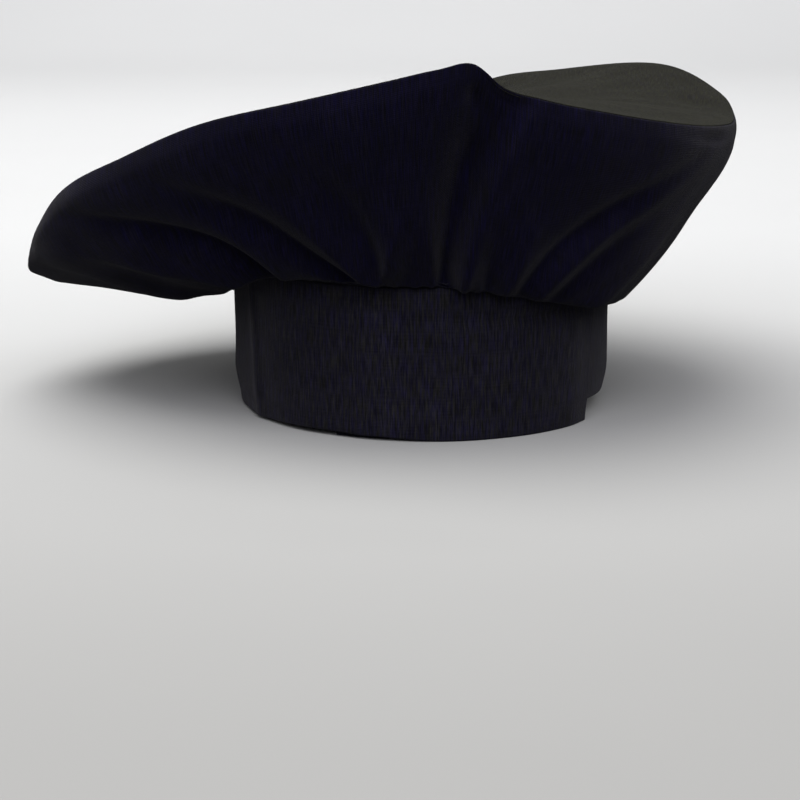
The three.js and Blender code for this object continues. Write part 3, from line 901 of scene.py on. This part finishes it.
def woven_cotton_group():
    """Shared effect: a plain weave with uneven threads. It puts out a colour, a roughness and a
    height for a bump."""
    name = "Woven Cotton"
    if name in bpy.data.node_groups:
        return bpy.data.node_groups[name]
    tree = bpy.data.node_groups.new(name, "ShaderNodeTree")
    face = tree.interface
    inputs = (
        ("Vector", "NodeSocketVector", None),
        ("Colour", "NodeSocketColor", (0.01, 0.01, 0.01, 1)),
        ("Lint Colour", "NodeSocketColor", (0.03, 0.03, 0.03, 1)),
        ("Thread Pitch", "NodeSocketFloat", THREAD_PITCH),
        ("Unevenness", "NodeSocketFloat", 0.5),
        ("Roughness", "NodeSocketFloat", 0.85),
    )
    for label, kind, default in inputs:
        socket = face.new_socket(name=label, in_out="INPUT", socket_type=kind)
        if default is not None:
            socket.default_value = default
    for label, kind in (
        ("Colour", "NodeSocketColor"),
        ("Roughness", "NodeSocketFloat"),
        ("Height", "NodeSocketFloat"),
    ):
        face.new_socket(name=label, in_out="OUTPUT", socket_type=kind)
    given = node(tree, "NodeGroupInput", -1500, 0, {}).outputs

    def maths(operation, x, y, *inputs, **values):
        """Result of a Math node."""
        inputs = dict(enumerate(inputs))
        made = node(tree, "ShaderNodeMath", x, y, inputs, operation=operation, **values)
        return made.outputs[0]

    def stretched(x, y, value, low, high, least=0.0):
        """A value from low to high, stretched so that it runs from least to 1."""
        inputs = {"Value": value, "From Min": low, "From Max": high, "To Min": least}
        return node(tree, "ShaderNodeMapRange", x, y, inputs).outputs[0]

    # Threads: two crossing rows of rounded ridges.
    parts = node(tree, "ShaderNodeSeparateXYZ", -1250, 300, {0: given["Vector"]})
    turns = maths("DIVIDE", -1250, 120, math.pi, given["Thread Pitch"])
    ridges = []
    for axis, y in ((0, 380), (1, 200)):
        scaled = maths("MULTIPLY", -1050, y, parts.outputs[axis], turns)
        wave = maths("SINE", -880, y, scaled)
        ridges.append(maths("ABSOLUTE", -710, y, wave))
    weave = maths("MULTIPLY", -520, 300, *ridges)

    # Uneven threads: streaks that follow the warp, fainter ones along the weft, and soft patches.
    streaks = []
    for label, scale, y, detail in (
        ("Warp Streaks", (1500, 110, 1), 0, 4.0),
        ("Weft Streaks", (70, 1300, 1), -220, 2.0),
        ("Soft Patches", (60, 45, 1), -440, 3.0),
        ("Dyed Streaks", (1100, 110, 1), -660, 4.0),
    ):
        inputs = {"Vector": given["Vector"], "Scale": scale}
        mapping = node(tree, "ShaderNodeMapping", -1250, y, inputs, label=label)
        inputs = {"Vector": mapping.outputs[0], "Scale": 1, "Detail": detail, "Roughness": 0.6}
        noise = node(tree, "ShaderNodeTexNoise", -1050, y, inputs, label=label)
        streaks.append(noise.outputs["Fac"])
    warp, weft, patches, dyes = streaks
    faint = maths("MULTIPLY", -820, -240, weft, 0.15)
    uneven = maths("MULTIPLY_ADD", -820, -60, warp, 0.85, faint)
    contrast = stretched(-620, -60, uneven, 0.4, 0.64)
    lint = maths("MULTIPLY", -420, -60, contrast, given["Unevenness"])
    patch = stretched(-620, -360, patches, 0.3, 0.7, 0.55)
    share = maths("MULTIPLY", -240, -120, lint, patch)
    inputs = {"Factor": share, "A": given["Colour"], "B": given["Lint Colour"]}
    colour = node(tree, "ShaderNodeMix", 0, 60, inputs, data_type="RGBA")

    # Threads of a slightly different black, some bluer and some browner.
    choice = stretched(-240, -340, dyes, 0.4, 0.6)
    inputs = {"Factor": choice, "A": (*BLUER_THREADS, 1), "B": (*BROWNER_THREADS, 1)}
    dye = node(tree, "ShaderNodeMix", 0, -340, inputs, data_type="RGBA", label="Dye")
    inputs = {0: colour.outputs["Result"], 1: dye.outputs["Result"]}
    dyed = node(tree, "ShaderNodeVectorMath", 250, 60, inputs, operation="MULTIPLY")

    rough = maths("MULTIPLY_ADD", 0, -160, share, -0.12, given["Roughness"], use_clamp=True)
    height = maths("MULTIPLY_ADD", 0, 300, uneven, 0.9, weave)
    outputs = {"Colour": dyed.outputs[0], "Roughness": rough, "Height": height}
    node(tree, "NodeGroupOutput", 700, 0, outputs)
    return tree


def cotton(name, colour, bump_distance, sheen, sheen_tint, roughness=0.85, lint=None):
    """Black cotton on a piece's own cut pattern, with lint of its own shade or a stated colour."""
    lint = lint or [LINT_LIGHTER * c for c in colour]
    material = bpy.data.materials.new(name)
    material.use_nodes = True
    tree = material.node_tree
    pattern = node(tree, "ShaderNodeUVMap", -700, 0, {}, uv_map="cut")
    inputs = {
        "Vector": pattern.outputs[0],
        "Colour": (*colour, 1),
        "Lint Colour": (*lint, 1),
        "Thread Pitch": THREAD_PITCH,
        "Unevenness": 0.8,
        "Roughness": roughness,
    }
    weave = node(tree, "ShaderNodeGroup", -400, 0, {}, node_tree=woven_cotton_group())
    fill(tree, weave, inputs)
    inputs = {"Strength": 0.5, "Distance": bump_distance, "Height": weave.outputs["Height"]}
    bump = node(tree, "ShaderNodeBump", 0, -300, inputs)
    shader = tree.nodes["Principled BSDF"]
    shader.location = (500, 0)
    tree.nodes["Material Output"].location = (800, 0)
    inputs = {
        "Base Color": weave.outputs["Colour"],
        "Roughness": weave.outputs["Roughness"],
        "Normal": bump.outputs[0],
        "Specular IOR Level": 0.1,
        "Sheen Weight": sheen,
        "Sheen Roughness": 0.38,
        "Sheen Tint": (*sheen_tint, 1),
    }
    fill(tree, shader, inputs)
    return material


def plain_floor(near, far):
    """Plain paper, with painted shade that makes it a little darker towards the camera."""
    material = bpy.data.materials.new("pale_floor")
    material.use_nodes = True
    tree = material.node_tree
    spot = node(tree, "ShaderNodeTexCoord", -1100, 0, {}).outputs["Object"]
    parts = node(tree, "ShaderNodeSeparateXYZ", -900, 100, {0: spot})
    # Painted shade: the paper runs from the darker near colour to the far colour with distance from
    # the camera.
    inputs = {"Value": parts.outputs["Y"], "From Min": FLOOR_NEAR, "From Max": FLOOR_FAR}
    depth = node(tree, "ShaderNodeMapRange", -700, 100, inputs, interpolation_type="SMOOTHSTEP")
    inputs = {"Factor": depth.outputs[0], "A": (*near, 1), "B": (*far, 1)}
    tone = node(tree, "ShaderNodeMix", -450, 0, inputs, data_type="RGBA")
    inputs = {"Vector": spot, "Scale": 2.5, "Detail": 4}
    noise = node(tree, "ShaderNodeTexNoise", -700, -250, inputs)
    inputs = {"Value": noise.outputs["Fac"], "To Min": 0.96, "To Max": 1.04}
    mottle = node(tree, "ShaderNodeMapRange", -450, -250, inputs)
    inputs = {0: tone.outputs["Result"], 1: mottle.outputs[0]}
    paper = node(tree, "ShaderNodeVectorMath", -200, 0, inputs, operation="MULTIPLY")
    shader = tree.nodes["Principled BSDF"]
    inputs = {"Base Color": paper.outputs[0], "Roughness": 0.9, "Specular IOR Level": 0.1}
    fill(tree, shader, inputs)

    # Less light comes back up from the floor than is seen on it, as if the hat stood well above it.
    bounce = (FLOOR_BOUNCE, FLOOR_BOUNCE, FLOOR_BOUNCE, 1)
    dim = node(tree, "ShaderNodeBsdfDiffuse", 0, -300, {"Color": bounce})
    path = node(tree, "ShaderNodeLightPath", 0, 300, {})
    inputs = {"Fac": path.outputs["Is Camera Ray"], 1: dim.outputs[0], 2: shader.outputs[0]}
    choice = node(tree, "ShaderNodeMixShader", 300, 0, inputs)
    fill(tree, tree.nodes["Material Output"], {"Surface": choice.outputs[0]})
    return material


# Operators


class HAT_OT_band(bpy.types.Operator):
    """Winds the band round the head, with its outer end over the tucked one"""

    bl_idname = "chef_hat.band"
    bl_label = "Hat Band"

    def execute(self, context):
        band = context.scene.hat_band
        wall = band.wall / MM
        swell = band.unevenness / MM
        turns = section_turns(BAND_INNER_END, BAND_OUTER_END, BAND_STEP, BAND_HALF_DEPTH)
        lower = winding_at("lower_edge", turns)
        tucked = smooth((BAND_INNER_END + TUCKED_TURNS - turns) / 10)
        upper = BAND_HEIGHT - TUCKED_DROP * tucked

        def face(turn, z):
            x = turn / 360
            share = z / BAND_HEIGHT
            soft = rumpled(x, share, 17, 2, 21) + 0.5 * rumpled(x, share, 41, 3, 22)
            over_tape = smooth((turn - 360 - TAPE_FROM) / 12)
            above = (z - TAPE_UPPER_EDGE - CREASE_ABOVE) / CREASE_SPREAD
            crease = CREASE_DEPTH * over_tape * np.exp(-(above**2))
            beside = np.abs(wrapped(turn - BEND_TURN + BEND_LEAN * z)) / BEND_SPREAD
            bend = BEND_HEIGHT * np.exp(-(beside**1.3))
            low = smooth((TUCKED_UP_TO - z) / TUCKED_UP_TO)
            tuck = TUCKED_IN * np.abs(np.sin(np.radians(turn))) ** 6 * low
            base = band_radius(turn) + winding_at("out", np.minimum(turn, BAND_OUTER_END))
            return base + swell * soft - crease + bend - tuck

        piece = wound_strip(
            "band_cloth", turns, lower, upper, face, wall, BAND_ROWS, math.degrees(band.end_lean)
        )
        piece.data.materials.append(
            cotton("black_band_cotton", band.colour, 0.0002, 0.125, (0.97, 0.93, 1.0))
        )
        declare(piece, "band")
        return {"FINISHED"}


class HAT_OT_closure_tape(bpy.types.Operator):
    """Lays the hook and loop tape between the two ends of the band"""

    bl_idname = "chef_hat.closure_tape"
    bl_label = "Closure Tape"

    def execute(self, context):
        turns = section_turns(TAPE_FROM, TAPE_TO, TAPE_STEP, BAND_HALF_DEPTH)
        lower = np.full(len(turns), TAPE_LOWER_EDGE, float)
        upper = np.full(len(turns), TAPE_UPPER_EDGE, float)

        def face(turn, z):
            return band_radius(turn) + TAPE_OUT

        piece = wound_strip("closure_tape", turns, lower, upper, face, TAPE_WALL, TAPE_ROWS)
        piece.data.materials.append(
            cotton("black_hook_and_loop", TAPE_COLOUR, 0.0004, 0.6, (1, 1, 1), 0.95, TAPE_LINT)
        )
        declare(piece, "closure_patch")
        return {"FINISHED"}


class HAT_OT_crown_side(bpy.types.Operator):
    """Gathers the crown's side panel onto the band, and shapes its folds"""

    bl_idname = "chef_hat.crown_side"
    bl_label = "Crown Side Panel"

    def execute(self, context):
        crown = context.scene.hat_crown
        wall = crown.wall / MM
        radius = crown.seam_roll / MM
        curl = np.linspace(0, CURL_SHARE, CURL_ROWS, endpoint=False)
        body = np.linspace(CURL_SHARE, 1, WALL_ROWS)
        near = 1 - np.array([0.012, 0.008, 0.005, 0.003, 0.0015, 0.0])
        shares = np.concatenate([curl, body[body < 0.985], near])
        turn, share = np.meshgrid(column_turns(), shares, indexing="ij")
        outer = side_point(turn, share)
        from_seam = np.linalg.norm(outer - outer[:, -1:], axis=-1)
        normal = grid_normals(outer)
        outward, face_way = section_ways(turn, share)
        normal = normal * np.sign(np.sum(normal * face_way, -1))[..., None]
        fine = fine_height(turn, share, crown) + pucker_height(turn, from_seam, crown, 31)
        outer = outer + normal * fine[..., None]
        inward, across, depth = seam_at(column_turns(), wall)
        outer = outer + inward[:, None] * rolled_in(from_seam, radius)[..., None]
        outer[:, -1] -= SEAM_SPLIT * across
        level = smooth(share / 0.02)[..., None]
        way = unit(mix(-outward, -face_way, level))
        inner = outer + wall * way
        inner[:, -1] = outer[:, -1] + inward * (depth - radius * SEAM_ROLLED)
        grid = np.concatenate([outer, inner[:, ::-1]], 1)
        u = np.linspace(0, SIDE_CUT[0], COLUMNS + 1)[:, None]
        v = np.concatenate([shares, shares[::-1], shares[:1]])[None] * SIDE_CUT[1]
        uv = np.stack(np.broadcast_arrays(u, v), -1)
        piece = cloth_mesh("crown_side_panel", grid, uv, "joined")
        # The side panel's base colour holds painted shade: darker than the band's cotton.
        piece.data.materials.append(
            cotton("black_crown_cotton", crown.colour, 0.0002, 0.085, (1.0, 0.97, 0.9))
        )
        declare(piece, "crown_side")
        return {"FINISHED"}


class HAT_OT_crown_top(bpy.types.Operator):
    """Sets the round top panel inside the seam"""

    bl_idname = "chef_hat.crown_top"
    bl_label = "Crown Top Panel"

    def execute(self, context):
        crown = context.scene.hat_crown
        wall = crown.wall / MM
        radius = crown.seam_roll / MM
        turns = column_turns()
        body = np.linspace(0, 1, TOP_RINGS + 1)[1:] ** 0.8
        near = 1 - np.array([0.009, 0.006, 0.0035, 0.002, 0.001, 0.0])
        shares = np.concatenate([[0.006], body[body < 0.985], near])
        turn, share = np.meshgrid(turns, shares, indexing="ij")
        outer = top_point(turn, share)
        from_seam = np.linalg.norm(outer - outer[:, -1:], axis=-1)
        x = turn / 360
        flat_x = share * np.sin(np.radians(turn))
        flat_y = share * np.cos(np.radians(turn))
        soft = rumpled(0.5 + 0.4 * flat_x, 0.5 + 0.45 * flat_y, 9, 8, 41)
        small = rumpled(x, share, 54, 3, 42) * smooth((share - 0.45) / 0.4)
        rumple = crown.rumple_height / MM * (0.9 * soft + 0.5 * small)
        fine = rumple * smooth((1 - share) / 0.1) + pucker_height(turn, from_seam, crown, 51)
        outer[..., 2] += fine
        inward, across, depth = seam_at(turns, wall)
        outer = outer + inward[:, None] * rolled_in(from_seam, radius)[..., None]
        outer[:, -1] += SEAM_SPLIT * across
        inner = outer - [0, 0, wall]
        inner[:, -1] = outer[:, -1] + inward * (depth - radius * SEAM_ROLLED)
        grid = np.concatenate([outer, inner[:, ::-1]], 1).transpose(1, 0, 2)
        flat = np.stack([flat_x, flat_y], -1) * TOP_CUT_WIDTH / 2
        flat = np.concatenate([flat, flat[:, ::-1]], 1).transpose(1, 0, 2)
        uv = np.concatenate([flat, flat[:, :1]], 1)
        piece = cloth_mesh("crown_top_panel", grid, uv, "points")
        # The top panel's base colour holds painted light: lighter and warmer than the side panel's
        # cotton.
        piece.data.materials.append(
            cotton("black_top_cotton", crown.top_colour_with_painted_light, 0.0003, 0.066, (1.0, 1.0, 0.78))
        )
        declare(
            piece,
            "crown_top",
        )
        return {"FINISHED"}


class HAT_OT_studio(bpy.types.Operator):
    """Adds the floor with its sweep, the lights and the camera"""

    bl_idname = "chef_hat.studio"
    bl_label = "Studio"

    def execute(self, context):
        studio = context.scene.hat_studio
        self.floor(studio)
        self.lights(studio)
        self.camera(context, studio)
        return {"FINISHED"}

    def floor(self, studio):
        deselect_all()
        middle = FLOOR_BEHIND - FLOOR_DEPTH / 2
        bpy.ops.mesh.primitive_plane_add(size=1, location=(0, middle, 0))
        floor = bpy.context.object
        floor.name = "studio_floor"
        floor.scale = (FLOOR_WIDTH, FLOOR_DEPTH, 1)
        bpy.ops.object.transform_apply(location=True, rotation=True, scale=True)
        bpy.ops.object.mode_set(mode="EDIT")
        bpy.ops.mesh.select_all(action="DESELECT")
        bpy.ops.object.mode_set(mode="OBJECT")
        for edge in floor.data.edges:
            ends = [floor.data.vertices[k].co.y for k in edge.vertices]
            edge.select = min(ends) > FLOOR_BEHIND - 0.01
        for vertex in floor.data.vertices:
            vertex.select = vertex.co.y > FLOOR_BEHIND - 0.01
        bpy.ops.object.mode_set(mode="EDIT")
        bpy.ops.mesh.select_mode(type="EDGE")
        bpy.ops.mesh.extrude_region_move(
            TRANSFORM_OT_translate={"value": (0, 0, BACKDROP_HEIGHT)}
        )
        bpy.ops.mesh.select_all(action="DESELECT")
        bpy.ops.object.mode_set(mode="OBJECT")
        for edge in floor.data.edges:
            ends = [floor.data.vertices[k].co for k in edge.vertices]
            edge.select = all(p.y > FLOOR_BEHIND - 0.01 and p.z < 0.01 for p in ends)
        bpy.ops.object.mode_set(mode="EDIT")
        bpy.ops.mesh.bevel(offset=SWEEP_RADIUS, segments=SWEEP_SEGMENTS)
        bpy.ops.object.mode_set(mode="OBJECT")
        bpy.ops.object.shade_smooth()
        floor.data.materials.append(plain_floor(studio.shaded_near_colour, studio.far_colour))
        deselect_all()

    def lights(self, studio):
        world = bpy.data.worlds.new("pale_room")
        bpy.context.scene.world = world
        world.use_nodes = True
        background = world.node_tree.nodes["Background"]
        background.inputs["Color"].default_value = (0.93, 0.95, 1.0, 1)
        background.inputs["Strength"].default_value = ROOM_LIGHT
        self.area_light("overhead", (-0.4, -0.1, 1.7), 1.8, studio.overhead_power, (1, 1, 0.96))
        self.area_light("front", (0.0, -1.5, 1.35), 1.8, studio.front_power, (0.97, 0.97, 1.0))
        for name, across in (("left_fill", -1.7), ("right_fill", 1.7)):
            self.area_light(name, (across, 0.7, 1.1), 1.2, studio.fill_power, (1, 1, 0.95))
        self.area_light(
            "backdrop", (0, 0.9, 1.5), 1.2, studio.backdrop_power, (1, 1, 1), BACKDROP_AIM
        )

    def area_light(self, name, location, size, power, colour, target=None):
        light = bpy.data.lights.new(name, "AREA")
        light.shape = "DISK"
        light.size = size
        light.energy = power
        light.color = colour
        lamp = bpy.data.objects.new(name, light)
        bpy.context.scene.collection.objects.link(lamp)
        lamp.location = location
        aim = Vector(target or HEAD_AXIS + Vector((0, 0, BAND_HEIGHT * MM))) - Vector(location)
        lamp.rotation_euler = aim.to_track_quat("-Z", "Y").to_euler()

    def camera(self, context, studio):
        data = bpy.data.cameras.new("photo_view")
        data.sensor_width = 36
        data.lens = studio.lens
        camera = bpy.data.objects.new("photo_view", data)
        context.scene.collection.objects.link(camera)
        tilt = studio.camera_tilt
        up = Vector((0, math.sin(tilt), math.cos(tilt)))
        forward = Vector((0, math.cos(tilt), -math.sin(tilt)))
        aim = HEAD_AXIS + Vector((AIM_ACROSS * MM, 0, 0)) + up * AIM_UP * MM
        camera.location = aim - forward * studio.camera_distance
        camera.rotation_euler = (math.pi / 2 - tilt, 0, 0)
        context.scene.camera = camera
        context.scene.view_settings.view_transform = "Standard"


class HAT_PT_panel(bpy.types.Panel):
    """Buttons and settings of the chef hat"""

    bl_idname = "HAT_PT_panel"
    bl_label = "Chef Hat"
    bl_space_type = "VIEW_3D"
    bl_region_type = "UI"
    bl_category = "Chef Hat"

    def draw(self, context):
        layout = self.layout
        scene = context.scene
        for settings, operators in (
            (scene.hat_band, ("chef_hat.band", "chef_hat.closure_tape")),
            (scene.hat_crown, ("chef_hat.crown_side", "chef_hat.crown_top")),
            (scene.hat_studio, ("chef_hat.studio",)),
        ):
            group = layout.box()
            for name in settings.__annotations__:
                group.prop(settings, name)
            for operator in operators:
                group.operator(operator)


CLASSES = (
    HatBandSettings,
    CrownSettings,
    StudioSettings,
    HAT_OT_band,
    HAT_OT_closure_tape,
    HAT_OT_crown_side,
    HAT_OT_crown_top,
    HAT_OT_studio,
    HAT_PT_panel,
)


def register():
    for cls in CLASSES:
        bpy.utils.register_class(cls)
    bpy.types.Scene.hat_band = bpy.props.PointerProperty(type=HatBandSettings)
    bpy.types.Scene.hat_crown = bpy.props.PointerProperty(type=CrownSettings)
    bpy.types.Scene.hat_studio = bpy.props.PointerProperty(type=StudioSettings)


def unregister():
    del bpy.types.Scene.hat_studio
    del bpy.types.Scene.hat_crown
    del bpy.types.Scene.hat_band
    for cls in reversed(CLASSES):
        bpy.utils.unregister_class(cls)


def main():
    register()
    deselect_all()
    bpy.ops.chef_hat.band()
    bpy.ops.chef_hat.closure_tape()
    bpy.ops.chef_hat.crown_side()
    bpy.ops.chef_hat.crown_top()
    bpy.ops.chef_hat.studio()
    bpy.context.view_layer.update()


if __name__ == "__main__":
    main()
